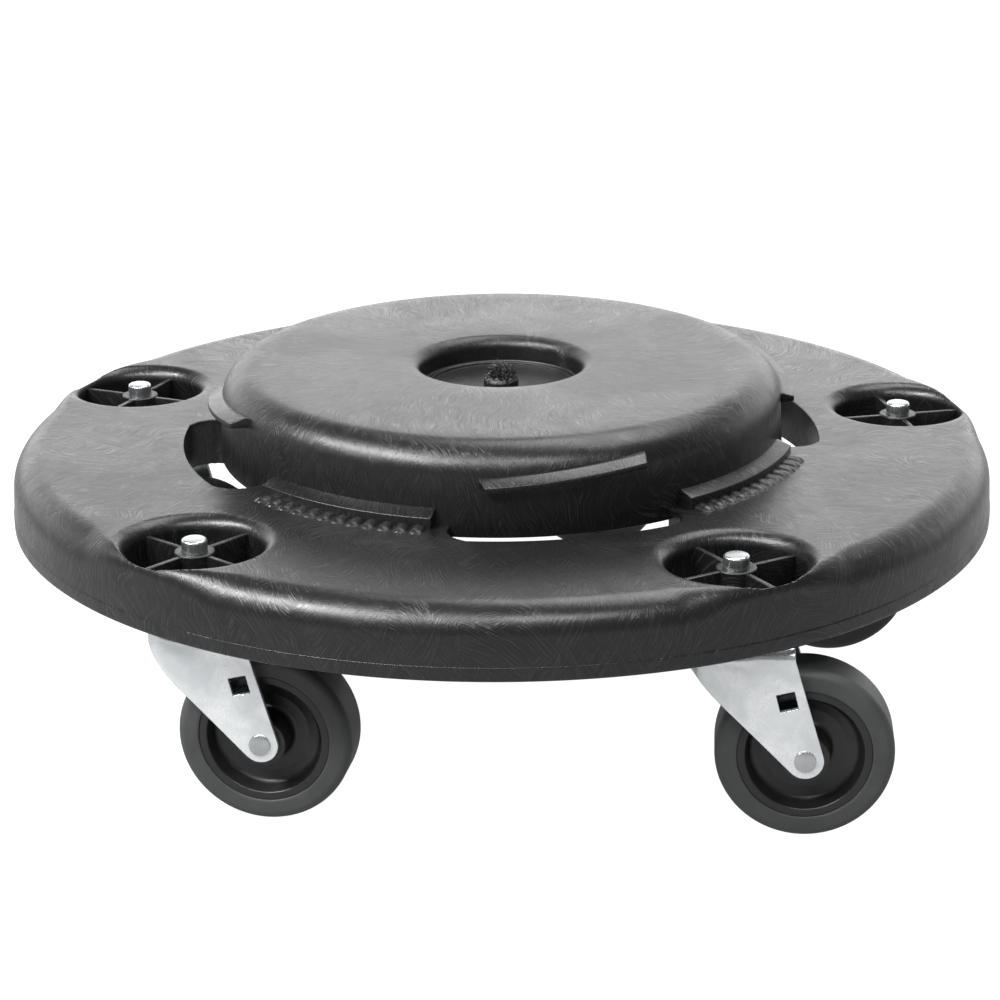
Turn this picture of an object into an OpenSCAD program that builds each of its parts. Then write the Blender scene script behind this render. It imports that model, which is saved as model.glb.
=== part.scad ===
// Round twist-lock dolly on five stem casters.
// One moulded deck carries a raised hub with four slots, low ledges with locking teeth, and ramped ledges.
// Each caster is a stem with a ball race, a stamped fork, a riveted axle and a wheel.
// Millimetres, Z up, floor at z = 0, hub axis on the Z axis, caster 1 on the +X side.

/* [Deck] */
// Outer diameter of the deck
deck_d = 455; // [450:1:465]
// Height of the rim, from its lower edge to the deck's top face
rim_h = 31.8; // [29:0.1:33]
// Thickness of the deck plate
plate_t = 4.2; // [3.5:0.1:5]
// Thickness of the rim wall
rim_t = 4.5; // [3.5:0.1:5.5]
// Rounding of the rim's upper edge
rim_round = 13.5; // [11:0.5:15]
// Height of the mould parting line above the rim's lower edge
parting_h = 6.3; // [4:0.1:9]

/* [Hub] */
// Height of the hub above the deck's top face
hub_h = 35.4; // [34:0.1:38]
// Radius of the hub wall at the deck
hub_r = 131; // [130:0.5:132]
// Draft of the hub wall over its height
hub_draft = 2; // [1:0.1:3]
// Rounding of the hub's upper edge
hub_round = 15; // [12:0.5:16]
// Thickness of the hub's wall and top
hub_t = 4; // [3.5:0.1:5]
// Radius of the recess in the middle of the hub
recess_r = 37.5; // [35:0.5:40]
// Depth of that recess
recess_depth = 11.8; // [10:0.1:13]
// Rounding of the recess's upper edge
recess_round = 8; // [6:0.5:9]
// Radius of the rough gate stub in the recess
gate_r = 8.2; // [6:0.1:10]

/* [Twist-lock ring] */
// Outer radius of the four slots
slot_r = 148; // [147:0.5:150]
// Half angle of a slot
slot_half = 21.8; // [20:0.1:22]
// Corner radius of a slot
slot_corner = 13.5; // [10:0.5:14]
// Outer radius of the low ledges between the slots
ledge_r = 137.2; // [136:0.2:138.4]
// Height of the low ledges above the deck, at the hub's wall
ledge_h = 7.6; // [6:0.1:9]
// How far the top of every ledge falls from the hub's wall to its outer edge
ledge_fall = 2.4; // [0.6:0.2:3]
// Half angle of a low ledge
ledge_half = 18.8; // [18:0.2:19.2]
// How far each low ledge stands off the middle of its gap, towards the Y axis, in degrees
ledge_shift = 1.4; // [0:0.2:1.6]
// Number of locking teeth at the foot of each low ledge
teeth = 12; // [8:1:12]
// Angle from one locking tooth to the next
teeth_pitch = 3; // [2.8:0.1:3]
// Height of the locking teeth above the deck
teeth_h = 2.2; // [1.4:0.2:2.6]
// Outer radius of the ramped ledges above the slots
ramp_r = 136.2; // [135.2:0.2:138.4]
// Half angle of a ramped ledge at its outer edge
ramp_half = 15.2; // [14:0.2:16]
// Climb of a ramped ledge, in degrees
ramp_slope = 5; // [3:0.5:6]

/* [Caster wells] */
// Number of casters
casters = 5; // [5]
// Radius of the circle on which the caster stems stand
well_pcr = 195; // [194:0.5:196]
// Radius of a well below its rounded lip
well_r = 29.5; // [28:0.5:31]
// Rounding of the well's lip
well_round = 6.5; // [5:0.5:7.5]
// Diameter of the boss that holds the stem
boss_d = 17.5; // [16:0.5:19]
// Thickness of the ribs that hold the boss
well_rib_t = 2.4; // [2:0.1:3]

/* [Caster] */
// Diameter of the stem
stem_d = 11.1; // [10.5:0.1:11.5]
// How far the wheel's axle trails behind the stem
trail = 30.3; // [29.5:0.1:31]
// Thickness of the fork's sheet steel
sheet_t = 2.3; // [2:0.1:2.5]
// Half width of the fork over its two legs
fork_half_w = 19; // [18.8:0.1:19.5]
// Radius of the fork's round crown
crown_r = 21.5; // [21:0.5:22.5]
// Swivel of each caster at rest, from stem to wheel, counter-clockwise from +X
swivels = [170, -28, -35, -22, -16]; // [-180:1:180]

/* [Wheel] */
// Diameter of the wheel
wheel_d = 76.2; // [74:0.1:77]
// Width of the tread
tread_w = 24.6; // [24:0.1:26]
// Radius where the tread meets the wheel core
core_r = 28.7; // [27.5:0.1:29.5]
// Rounding of the tread's shoulders
shoulder_r = 6.5; // [4:0.5:7]

/* [Hidden] */
$fn = 96;
eps = 0.01;

// Heights, stacked up from the floor
axle_z = wheel_d / 2;
crown_under = wheel_d + 10;
crown_top = crown_under + sheet_t;
ball_r = 2;
ball_pitch_r = 13;
small_ball_r = 1.6;
small_ball_pitch_r = 9.5;
ball_gap = 0.3;
race_t = 4.5;
boss_z = crown_top + race_t;
boss_h = 25;
deck_top = boss_z + boss_h + 4.4;
plate_z = deck_top - plate_t;
rim_z = deck_top - rim_h;
hub_top = deck_top + hub_h;
recess_z = hub_top - recess_depth;

// Radii and angles of the deck
deck_r = deck_d / 2;
rim_side_r = deck_r - 0.9;
well_rim_round = 7;
slot_wall_t = 4;
skirt_z = rim_z + 6.2;
slot_wall_z = rim_z + 9.7;
under_rib_z = deck_top - 20;
quarter = 90;
sector = 360 / casters;

// Fits around the stem and the axle
pin_r = 4.5;
axle_r = 4;
bushing_r = 6;
run_gap = 0.06;
leg_in = fork_half_w - sheet_t;
leg_end_r = 8;
leg_bend = 5.5;

CASTER_PARTS = ["stem", "grip_ring", "upper_race", "upper_balls", "fork", "lower_balls",
                "lower_race", "axle", "bushing", "wheel_core", "tread"];

plastic = "#2f2f31";
zinc = "#c9ced2";
steel = "#9a9ea3";
core_black = "#1d1d1f";
grey_rubber = "#4b4d4b";

// ---- helpers ----

module ring(r_out, r_in, h) {
    difference() {
        cylinder(r = r_out, h = h);
        translate([0, 0, -1]) cylinder(r = r_in, h = h + 2);
    }
}

// A flat wedge from -half to +half degrees, reaching out past radius r
module wedge_2d(r, half) {
    polygon([[0, 0], [r * cos(half), -r * sin(half)], [1.3 * r, 0], [r * cos(half), r * sin(half)]]);
}

// Section of a round body with a rounded upper outer edge, from the axis outward
module rounded_section(r_low, r_high, z_low, z_high, round_r) {
    polygon([[0, z_low], [r_low, z_low], [r_high, z_high - round_r],
             [r_high - round_r, z_high - round_r + eps], [r_high - round_r, z_high], [0, z_high]]);
    translate([r_high - round_r, z_high - round_r]) circle(r = round_r);
}

module at_wells() {
    for (k = [0:casters - 1]) rotate([0, 0, k * sector]) translate([well_pcr, 0, 0]) children();
}

module at_quarters(first) {
    for (q = [0:3]) rotate([0, 0, first + q * quarter]) children();
}

// ---- the moulded platform ----

// Section of the rim and plate: a small step marks the parting line
module deck_outline(edge_round) {
    rounded_section(deck_r - 0.25, rim_side_r, rim_z + parting_h, deck_top, edge_round);
    translate([0, rim_z]) square([deck_r, parting_h]);
}

module deck_shell() {
    inner_r = rim_side_r - rim_t;
    difference() {
        rotate_extrude() deck_outline(rim_round);
        translate([0, 0, rim_z - 1]) rotate_extrude()
            rounded_section(inner_r, inner_r, 0, plate_z - rim_z + 1, rim_round - rim_t);
        translate([0, 0, plate_z - 1]) cylinder(r = hub_r - hub_t + 1, h = plate_t + 2);
    }
}

// Plan of one slot, centred on +X and grown outward by g. The corner circles reach a little past
// the straight sides and the outer arc, so that they cross them cleanly.
module slot_2d(g) {
    corner = slot_corner + g + 0.3;
    mid_r = slot_r - slot_corner;
    corner_at = slot_half - asin(slot_corner / mid_r);
    side = slot_half + g / slot_r * 180 / PI;
    difference() {
        union() {
            intersection() {
                circle(r = slot_r + g);
                wedge_2d(2 * slot_r, corner_at);
            }
            intersection() {
                circle(r = mid_r);
                wedge_2d(2 * slot_r, side);
            }
            for (s = [-1, 1]) rotate([0, 0, s * corner_at]) translate([mid_r, 0]) circle(r = corner);
        }
        circle(r = hub_r - hub_t - 0.5);
    }
}

module slot_walls() {
    wall_h = plate_z - slot_wall_z + 1;
    translate([0, 0, slot_wall_z]) ring(slot_r + slot_wall_t, slot_r, wall_h);
    at_quarters(0) translate([0, 0, slot_wall_z]) difference() {
        linear_extrude(height = wall_h) slot_2d(slot_wall_t);
        translate([0, 0, -1]) cylinder(r = hub_r - 1, h = rim_h);
    }
}

module slot_cuts() {
    at_quarters(0) translate([0, 0, rim_z - 1]) linear_extrude(height = rim_h + 2) slot_2d(0);
}

// Section of a ledge from inner_r out to r, with its highest point at z and its foot at z_low
module ledge_section(inner_r, r, z_low, z) {
    wall_r = hub_r - 0.4;
    polygon([[inner_r, z_low], [r, z_low], [r, z - ledge_fall], [wall_r, z], [inner_r, z]]);
}

// Each low ledge and the teeth at its foot
module at_low_ledges() {
    for (q = [0:3]) rotate([0, 0, (q + 0.5) * quarter + (q % 2 == 0 ? 1 : -1) * ledge_shift]) children();
}

module low_ledges() {
    at_low_ledges() intersection() {
        rotate_extrude() ledge_section(hub_r - hub_t + 2, ledge_r, plate_z, deck_top + ledge_h);
        translate([0, 0, rim_z]) linear_extrude(height = hub_top) wedge_2d(2 * ledge_r, ledge_half);
    }
}

// The ledges above the slots climb along the hub's wall, and their ends taper outward
module ramped_ledges() {
    ledge_t = 3.5;
    inner_r = hub_r - hub_t - 1;
    mid_z = deck_top + 24.6;
    end_r = ramp_r + 4;
    in_w = (inner_r - 2) * tan(ramp_half + 2.2);
    out_w = ramp_r * tan(ramp_half - 1);
    at_quarters(0) translate([0, 0, mid_z]) rotate([ramp_slope, 0, 0]) intersection() {
        rotate_extrude() ledge_section(inner_r, ramp_r, -ledge_t - ledge_fall / 2, 0);
        translate([0, 0, -20]) linear_extrude(height = 40)
            polygon([[inner_r - 2, -in_w], [end_r, -out_w], [end_r, out_w], [inner_r - 2, in_w]]);
    }
}

// Rounded ridges on the deck, running out from the foot of each low ledge
module locking_teeth() {
    half_w = ledge_r * sin(teeth_pitch / 2) + 0.1;
    tooth_r = (half_w * half_w + teeth_h * teeth_h) / (2 * teeth_h);
    start_r = ledge_r - 2;
    end_r = ledge_r + 4.2;
    at_low_ledges() for (i = [0:teeth - 1]) rotate([0, 0, (i - (teeth - 1) / 2) * teeth_pitch])
        intersection() {
            translate([0, 0, deck_top + teeth_h - tooth_r]) {
                translate([start_r, 0, 0]) rotate([0, 90, 0]) cylinder(r = tooth_r, h = end_r - start_r);
                translate([end_r, 0, 0]) sphere(r = tooth_r, $fn = 48);
            }
            translate([start_r - 1, -10, deck_top - 1.6]) cube([20, 20, 10]);
        }
}

module hub_shell() {
    hub_foot = plate_z - 0.8;
    wall_top_r = hub_r - hub_draft;
    under_top = hub_top - hub_t;
    difference() {
        rotate_extrude() rounded_section(hub_r, wall_top_r, hub_foot, hub_top, hub_round);
        translate([0, 0, -1]) rotate_extrude()
            rounded_section(hub_r - hub_t, wall_top_r - hub_t, hub_foot, under_top + 1, hub_round - hub_t);
    }
}

module hub_ribs() {
    rib_t = 3;
    rib_z = deck_top + 14;
    wall_r = hub_r - hub_draft - hub_t + 1.5;
    intersection() {
        for (a = [0:45:315]) rotate([0, 0, a + 22.5])
            translate([recess_r + 1, -rib_t / 2, rib_z]) cube([hub_r, rib_t, hub_h]);
        rotate_extrude() rounded_section(wall_r, wall_r, rib_z - 1, hub_top - hub_t + 1.5, hub_round - hub_t);
    }
}

// The recess is a shallow cup, with a small ring around its floor and a gate stub in it
module recess_cup() {
    translate([0, 0, recess_z - hub_t]) cylinder(r = recess_r + hub_t, h = recess_depth + 1);
}

module recess_cut() {
    rotate_extrude() difference() {
        translate([0, recess_z]) square([recess_r + recess_round, recess_depth + 1]);
        translate([recess_r, recess_z - 1]) square([recess_round + 1, recess_depth + 1 - recess_round]);
        translate([recess_r + recess_round, hub_top - recess_round]) circle(r = recess_round);
    }
}

module recess_floor_details() {
    translate([0, 0, recess_z - 0.5]) ring(recess_r - 3, recess_r - 4.6, 1.7);
    translate([0, 0, recess_z - hub_t - 6]) cylinder(r1 = gate_r - 1.4, r2 = gate_r + 2, h = 6 + eps);
    translate([0, 0, recess_z - 1]) cylinder(r1 = gate_r, r2 = gate_r - 0.5, h = recess_depth - 2);
    for (a = [0:60:300]) rotate([0, 0, a]) translate([4.2, 0, recess_z + recess_depth - 3.6])
        sphere(r = 3.1 + 0.5 * sin(2 * a + 40), $fn = 32);
}

// Thick rounded collar of one well, and the pad that carries it out to the rim
module well_collar() {
    collar_r = well_r + 3.5;
    lip_r = well_r + well_round + 4;
    rotate_extrude() polygon([[0, skirt_z - 1], [collar_r, skirt_z - 1], [collar_r, plate_z - 7],
                              [lip_r, plate_z + 0.5], [lip_r, deck_top], [0, deck_top]]);
}

module well_collars() {
    intersection() {
        at_wells() well_collar();
        rotate_extrude() deck_outline(well_rim_round);
    }
}

module well_cuts() {
    at_wells() rotate_extrude() difference() {
        translate([0, rim_z - 2]) square([well_r + well_round, rim_h + 3]);
        translate([well_r, rim_z - 3]) square([well_round + 1, rim_h + 3 - well_round]);
        translate([well_r + well_round, deck_top - well_round]) circle(r = well_round);
    }
}

module well_crosses() {
    rib_z = boss_z + 4;
    at_wells() {
        translate([0, 0, boss_z]) cylinder(d = boss_d, h = boss_h);
        for (a = [0, 90]) rotate([0, 0, a]) translate([-well_r - 1, -well_rib_t / 2, rib_z])
            cube([2 * well_r + 2, well_rib_t, boss_z + boss_h - 0.5 - rib_z]);
    }
}

module stem_bores() {
    at_wells() translate([0, 0, boss_z - 1]) cylinder(d = stem_d + 0.1, h = boss_h + 2);
}

// Radial ribs under the deck, clear of the wells
module under_ribs() {
    rib_t = 3;
    inner_r = slot_r + slot_wall_t - 1;
    wall_r = rim_side_r - rim_t + 1.5;
    rib_h = plate_z - under_rib_z + 1;
    intersection() {
        for (k = [0:casters - 1], a = [-21, 21, 36]) rotate([0, 0, k * sector + a])
            translate([inner_r, -rib_t / 2, under_rib_z]) cube([deck_r, rib_t, rib_h]);
        rotate_extrude() rounded_section(wall_r, wall_r, rim_z - 1, plate_z + 1.5, rim_round - rim_t);
    }
    for (k = [0:casters - 1]) rotate([0, 0, k * sector])
        translate([inner_r, -rib_t / 2, under_rib_z]) cube([well_pcr - well_r - inner_r - 1, rib_t, rib_h]);
}

module platform() {
    color(plastic) difference() {
        union() {
            difference() {
                union() {
                    deck_shell();
                    slot_walls();
                    under_ribs();
                    well_collars();
                }
                slot_cuts();
                well_cuts();
            }
            low_ledges();
            locking_teeth();
            difference() {
                union() {
                    hub_shell();
                    hub_ribs();
                    recess_cup();
                }
                recess_cut();
            }
            recess_floor_details();
            ramped_ledges();
            well_crosses();
        }
        stem_bores();
    }
}

// ---- one caster: the stem axis is z, and the wheel trails towards +X ----

module place(k) {
    rotate([0, 0, (k - 1) * sector]) translate([well_pcr, 0, 0])
        rotate([0, 0, swivels[k - 1] - (k - 1) * sector]) children();
}

ring_groove_z = boss_z + boss_h - 8;
ring_groove_h = 3;
ring_groove_r = stem_d / 2 - 1;

module stem() {
    top_z = boss_z + boss_h + 5.4;
    chamfer = 0.8;
    head_z = crown_under - 6;
    difference() {
        union() {
            translate([0, 0, boss_z]) cylinder(d = stem_d, h = top_z - chamfer - boss_z);
            translate([0, 0, top_z - chamfer])
                cylinder(d1 = stem_d, d2 = stem_d - 2 * chamfer, h = chamfer);
        }
        translate([0, 0, ring_groove_z]) ring(stem_d, ring_groove_r, ring_groove_h);
    }
    translate([0, 0, head_z + 1]) cylinder(r = pin_r, h = boss_z - head_z);
    translate([0, 0, head_z]) cylinder(r1 = pin_r + 0.8, r2 = pin_r + 2, h = 1.8);
}

module grip_ring() {
    difference() {
        translate([0, 0, ring_groove_z + 0.1]) ring(stem_d / 2 + 0.02, ring_groove_r, ring_groove_h - 0.2);
        translate([0, -1, ring_groove_z - 1]) cube([stem_d, 2, ring_groove_h + 2]);
    }
}

module upper_race() {
    lip_r = 18.4;
    difference() {
        translate([0, 0, boss_z - 3.1]) cylinder(r = lip_r, h = 3.1);
        translate([0, 0, boss_z - 4]) cylinder(r = pin_r, h = 5);
        translate([0, 0, crown_top - 1]) rotate_extrude()
            translate([ball_pitch_r, ball_r]) circle(r = ball_r + ball_gap);
    }
}

module balls(r, pitch_r, z) {
    count = floor(360 / (2 * asin((r + 0.15) / pitch_r)));
    for (i = [0:count - 1]) rotate([0, 0, i * 360 / count]) translate([pitch_r, 0, z])
        sphere(r = r, $fn = 32);
}

// Direction, seen from the centre c of a circle of radius r, where a line from p touches it on side s
function touch(p, c, r, s) = atan2(p[1] - c[1], p[0] - c[0]) + s * acos(r / norm(p - c));

// Side view of the fork in X and Z: wide at the crown, narrowing to the axle
module fork_side() {
    axle = [trail, axle_z];
    heel = [-8.5, axle_z + 28];
    bend = [trail - 5, axle_z + 45];
    steps = 20;
    from = touch(heel, axle, leg_end_r, 1);
    to = touch(bend, axle, leg_end_r, -1) + 360;
    end_arc = [for (i = [0:steps]) let (a = from + (to - from) * i / steps)
        axle + leg_end_r * [cos(a), sin(a)]];
    polygon(concat(end_arc, [bend, [bend[0] - 0.5, crown_top + 1], [-crown_r - 1, crown_top + 1],
                             [-crown_r - 1, axle_z + 41.5], [-17, axle_z + 37], heel]));
}

// Outer form of the fork, drawn in by g on every face
module fork_form(g) {
    flank = fork_half_w - g;
    round_r = leg_bend - g;
    top = crown_top - g;
    translate([0, 0, axle_z + 43]) rotate_extrude()
        rounded_section(crown_r - g, crown_r - g, 0, top - axle_z - 43, round_r);
    intersection() {
        translate([0, 0, axle_z]) cylinder(r = crown_r - g, h = 43 + eps);
        translate([-50, -flank, 0]) cube([100, 2 * flank, crown_top]);
    }
    rotate([90, 0, 90]) linear_extrude(height = 50) {
        translate([-flank, 20]) square([2 * flank, top - round_r - 20]);
        translate([-flank + round_r, 20]) square([2 * (flank - round_r), top - 20]);
        for (s = [-1, 1]) translate([s * (flank - round_r), top - round_r]) circle(r = round_r);
    }
}

module fork() {
    window = 7.8;
    difference() {
        intersection() {
            difference() {
                fork_form(0);
                fork_form(sheet_t);
            }
            translate([0, 50, 0]) rotate([90, 0, 0]) linear_extrude(height = 100) fork_side();
        }
        translate([0, 0, crown_under - 1]) cylinder(r = pin_r + run_gap, h = sheet_t + 2);
        translate([0, 0, crown_top - 1]) rotate_extrude()
            translate([ball_pitch_r, ball_r]) circle(r = ball_r + 0.05);
        translate([0, 0, crown_under + 0.6]) rotate_extrude()
            translate([small_ball_pitch_r, -small_ball_r]) circle(r = small_ball_r + 0.05);
        translate([trail, 50, axle_z]) rotate([90, 0, 0]) cylinder(r = axle_r + 0.05, h = 100);
        translate([22.2, 0, axle_z + 26.9]) rotate([0, -14, 0])
            translate([-window / 2, -50, -window / 2]) cube([window, 100, window]);
    }
}

module lower_race() {
    lip_r = 12.5;
    top_z = crown_under - 1.2;
    difference() {
        translate([0, 0, top_z - 3]) cylinder(r = lip_r, h = 3);
        translate([0, 0, top_z - 4]) cylinder(r = pin_r, h = 5);
        translate([0, 0, crown_under + 0.6]) rotate_extrude()
            translate([small_ball_pitch_r, -small_ball_r]) circle(r = small_ball_r + ball_gap);
    }
}

// ---- wheel parts, on the axle's own axis ----

module on_axle() {
    translate([trail, 0, axle_z]) rotate([90, 0, 0]) children();
}

module axle() {
    head_t = 1.4;
    head_r = 4.7;
    on_axle() {
        translate([0, 0, -fork_half_w]) cylinder(r = axle_r, h = 2 * fork_half_w);
        for (s = [-1, 1]) scale([1, 1, s]) translate([0, 0, fork_half_w]) {
            cylinder(r = head_r, h = head_t - 0.5);
            translate([0, 0, head_t - 0.5]) cylinder(r1 = head_r, r2 = head_r - 0.5, h = 0.5);
        }
    }
}

module bushing() {
    on_axle() translate([0, 0, -leg_in + 0.05]) ring(bushing_r, axle_r + 0.05, 2 * leg_in - 0.1);
}

module wheel_core() {
    boss_half = leg_in - 0.4;
    boss_r = 10.5;
    web_half = 3.4;
    rim_in_r = 25.2;
    rim_half = tread_w / 2 - 0.6;
    step_r = 21;
    bore = bushing_r + run_gap;
    on_axle() rotate_extrude() {
        translate([bore, -boss_half]) square([boss_r - bore, 2 * boss_half]);
        translate([bore, -web_half]) square([core_r - 1 - bore, 2 * web_half]);
        translate([step_r, -web_half - 1.2]) square([rim_in_r - step_r + 1, 2 * web_half + 2.4]);
        translate([rim_in_r, -rim_half]) square([core_r - rim_in_r, 2 * rim_half]);
    }
}

module tread() {
    half = tread_w / 2;
    outer = wheel_d / 2;
    on_axle() rotate_extrude() difference() {
        union() {
            translate([core_r, -half]) square([outer - shoulder_r - core_r, 2 * half]);
            translate([core_r, -half + shoulder_r]) square([outer - core_r, 2 * (half - shoulder_r)]);
            for (s = [-1, 1]) translate([outer - shoulder_r, s * (half - shoulder_r)])
                circle(r = shoulder_r);
        }
        translate([0, -1.5 * half]) square([core_r, 3 * half]);
    }
}

platform();
for (k = [1:casters]) place(k) {
    color(zinc) stem();
    color(steel) grip_ring();
    color(zinc) upper_race();
    color(steel)
        balls(ball_r, ball_pitch_r, crown_top - 1 + ball_r);
    color(zinc) fork();
    color(steel)
        balls(small_ball_r, small_ball_pitch_r, crown_under + 0.6 - small_ball_r);
    color(zinc) lower_race();
    color(zinc) axle();
    color(steel) bushing();
    color(core_black) wheel_core();
    color(grey_rubber) tread();
}
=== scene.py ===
"""Looks of the round twist-lock dolly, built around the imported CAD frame."""
import math

import bmesh
import bpy
import numpy as np
from mathutils import Matrix, Vector, noise


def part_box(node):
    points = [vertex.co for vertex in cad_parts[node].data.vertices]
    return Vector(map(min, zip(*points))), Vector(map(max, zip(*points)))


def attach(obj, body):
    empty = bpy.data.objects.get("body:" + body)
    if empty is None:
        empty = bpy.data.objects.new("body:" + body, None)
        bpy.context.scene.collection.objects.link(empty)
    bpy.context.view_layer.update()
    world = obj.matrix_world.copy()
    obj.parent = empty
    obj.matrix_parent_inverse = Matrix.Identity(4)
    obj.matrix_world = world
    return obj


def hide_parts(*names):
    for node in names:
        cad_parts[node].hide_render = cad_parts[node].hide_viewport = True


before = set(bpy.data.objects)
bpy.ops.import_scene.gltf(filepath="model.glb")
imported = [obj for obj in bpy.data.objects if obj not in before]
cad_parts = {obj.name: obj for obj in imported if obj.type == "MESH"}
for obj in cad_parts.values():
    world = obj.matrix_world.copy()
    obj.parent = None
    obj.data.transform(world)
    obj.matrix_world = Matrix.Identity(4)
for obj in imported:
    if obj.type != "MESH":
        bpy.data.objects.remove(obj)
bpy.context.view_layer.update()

MM = 0.001
CASTERS = 5
SECTOR = 360 / CASTERS

# ---- sizes, in millimetres; places come from the frame ----

low, high = (np.array(c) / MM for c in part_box("platform"))
HUB_TOP = high[2]
RIM_Z = low[2]
DECK_R = high[1]
DECK_TOP = RIM_Z + 31.8
PLATE_T = 4.2
PLATE_Z = DECK_TOP - PLATE_T
RIM_T = 4.5
SIDE_R = DECK_R - 0.9
PARTING_Z = RIM_Z + 6.3
RIM_ROUND = 13.5
WELL_RIM_ROUND = 7.0
HUB_R, HUB_TOP_R, HUB_ROUND, HUB_T = 131.0, 129.0, 15.0, 4.0
RECESS_R, RECESS_Z, RECESS_ROUND = 37.5, HUB_TOP - 11.8, 8.0
SLOT_R, SLOT_HALF, SLOT_CORNER, SLOT_WALL_T = 148.0, 21.8, 13.5, 4.0
SKIRT_Z = RIM_Z + 6.2
WELL_R, WELL_ROUND = 29.5, 6.5
SLOT_WALL_Z = RIM_Z + 9.7
LEDGE_R, LEDGE_H, LEDGE_HALF, LEDGE_SHIFT, LEDGE_FALL = 137.2, 7.6, 18.8, 1.4, 2.4
RAMP_R, RAMP_HALF, RAMP_T, RAMP_SLOPE, RAMP_Z = 136.2, 15.2, 3.5, 5.0, DECK_TOP + 24.6
TEETH, TEETH_PITCH, TEETH_H = 12, 3.0, 2.2
HUB_FOOT = PLATE_Z - 0.8
BOSS_D, BOSS_LENGTH, WELL_RIB_T = 17.5, 25, 2.4
CASTER_CIRCLE_R = 195
INNER_RIB_HALF = 1.5


def centre(node):
    a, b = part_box(node)
    return (np.array(a) + np.array(b)) / 2 / MM


STEMS = [centre(f"stem_{k}") for k in range(1, CASTERS + 1)]
AXLES = [centre(f"axle_{k}") for k in range(1, CASTERS + 1)]
WELLS = np.array([s[:2] for s in STEMS])
STEM_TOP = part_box("stem_1")[1][2] / MM
BOSS_TOP = STEM_TOP - 5.4
AXLE_Z = AXLES[0][2]
TRAIL = float(np.hypot(*(AXLES[0] - STEMS[0])[:2]))
CROWN_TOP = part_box("fork_1")[1][2] / MM
SWIVELS = [math.atan2(a[1] - s[1], a[0] - s[0]) for a, s in zip(AXLES, STEMS)]


# ---- signed distances ----

def rmax(a, b, r):
    """Overlap of two solids with their common edge rounded to radius r."""
    return (np.minimum(np.maximum(a, b), -r)
            + np.hypot(np.maximum(a + r, 0), np.maximum(b + r, 0)))


def rmin(a, b, r):
    """Union of two solids with a fillet of radius r where they meet."""
    return -rmax(-a, -b, r)


def smooth(lo, hi, x):
    t = np.clip((x - lo) / (hi - lo), 0, 1)
    return t * t * (3 - 2 * t)


def slot_2d(rho, theta):
    """Distance to the plan of the nearest of the four slots."""
    turn = (theta + math.pi / 4) % (math.pi / 2) - math.pi / 4
    side = rho * np.sin(np.abs(turn) - math.radians(SLOT_HALF))
    return rmax(rho - SLOT_R, side, SLOT_CORNER)


def locking_teeth(rho, theta, z):
    """Distance to the rounded ridges that run out from the foot of each low ledge."""
    quarter = np.floor(theta / (math.pi / 2)) % 2
    shift = math.radians(LEDGE_SHIFT) * (1 - 2 * quarter)
    turn = theta % (math.pi / 2) - math.pi / 4 - shift
    pitch = math.radians(TEETH_PITCH)
    nearest = (np.clip(np.floor(turn / pitch), -TEETH // 2, TEETH // 2 - 1) + 0.5) * pitch
    half_w = LEDGE_R * math.sin(pitch / 2) + 0.1
    tooth_r = (half_w ** 2 + TEETH_H ** 2) / (2 * TEETH_H)
    across = rho * np.sin(turn - nearest)
    beyond = np.maximum(rho - LEDGE_R - 4.2, 0)
    sunk = 0.09 * np.clip(rho - LEDGE_R, 0, 6)
    up = z - (DECK_TOP + TEETH_H - tooth_r) + sunk
    ridge = np.sqrt(across ** 2 + beyond ** 2 + up ** 2) - tooth_r
    return np.maximum(np.maximum(ridge, LEDGE_R - 2 - rho), DECK_TOP - 1.6 - z)


def deck_field(p):
    """The moulded deck without its hub: plate, rim, wells, slots and locking teeth."""
    x, y, z = p[..., 0], p[..., 1], p[..., 2]
    rho, theta = np.hypot(x, y), np.arctan2(y, x)
    well = np.min([np.hypot(x - wx, y - wy) for wx, wy in WELLS], axis=0)
    top = z - DECK_TOP

    edge_round = RIM_ROUND - (RIM_ROUND - WELL_RIM_ROUND) * smooth(50, 32, well)
    step = 0.32 * smooth(0.35, -0.35, z - PARTING_Z)
    side = rho - (SIDE_R + 0.55 - 0.65 * smooth(PARTING_Z, DECK_TOP - 6, z) + step)
    outer = rmax(rmax(side, top, edge_round), RIM_Z - z, 1.0)
    cavity = rmax(rho - (SIDE_R - RIM_T), z - PLATE_Z, RIM_ROUND - RIM_T)
    shell = rmax(outer, -cavity, 0.8)

    slot = slot_2d(rho, theta)
    walls = np.minimum(slot - SLOT_WALL_T, np.maximum(rho - SLOT_R - SLOT_WALL_T, SLOT_R - 1 - rho))
    walls = rmax(np.maximum(np.maximum(walls, z - PLATE_Z - 1), HUB_R - 1 - rho), SLOT_WALL_Z - z, 0.8)
    body = rmin(shell, walls, 1.6)

    collar_r = WELL_R + 3.5 + 7 * smooth(PLATE_Z - 8, PLATE_Z + 0.5, z)
    collar = rmax(np.maximum(well - collar_r, outer), SKIRT_Z - 1 - z, 0.8)
    body = np.minimum(body, collar)

    body = rmax(body, -slot, 0.5)
    body = np.maximum(body, HUB_R - 3.4 - rho)
    lip = rmax(top, WELL_R - well, WELL_ROUND)
    return np.minimum(np.maximum(body, lip), locking_teeth(rho, theta, z))


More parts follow.
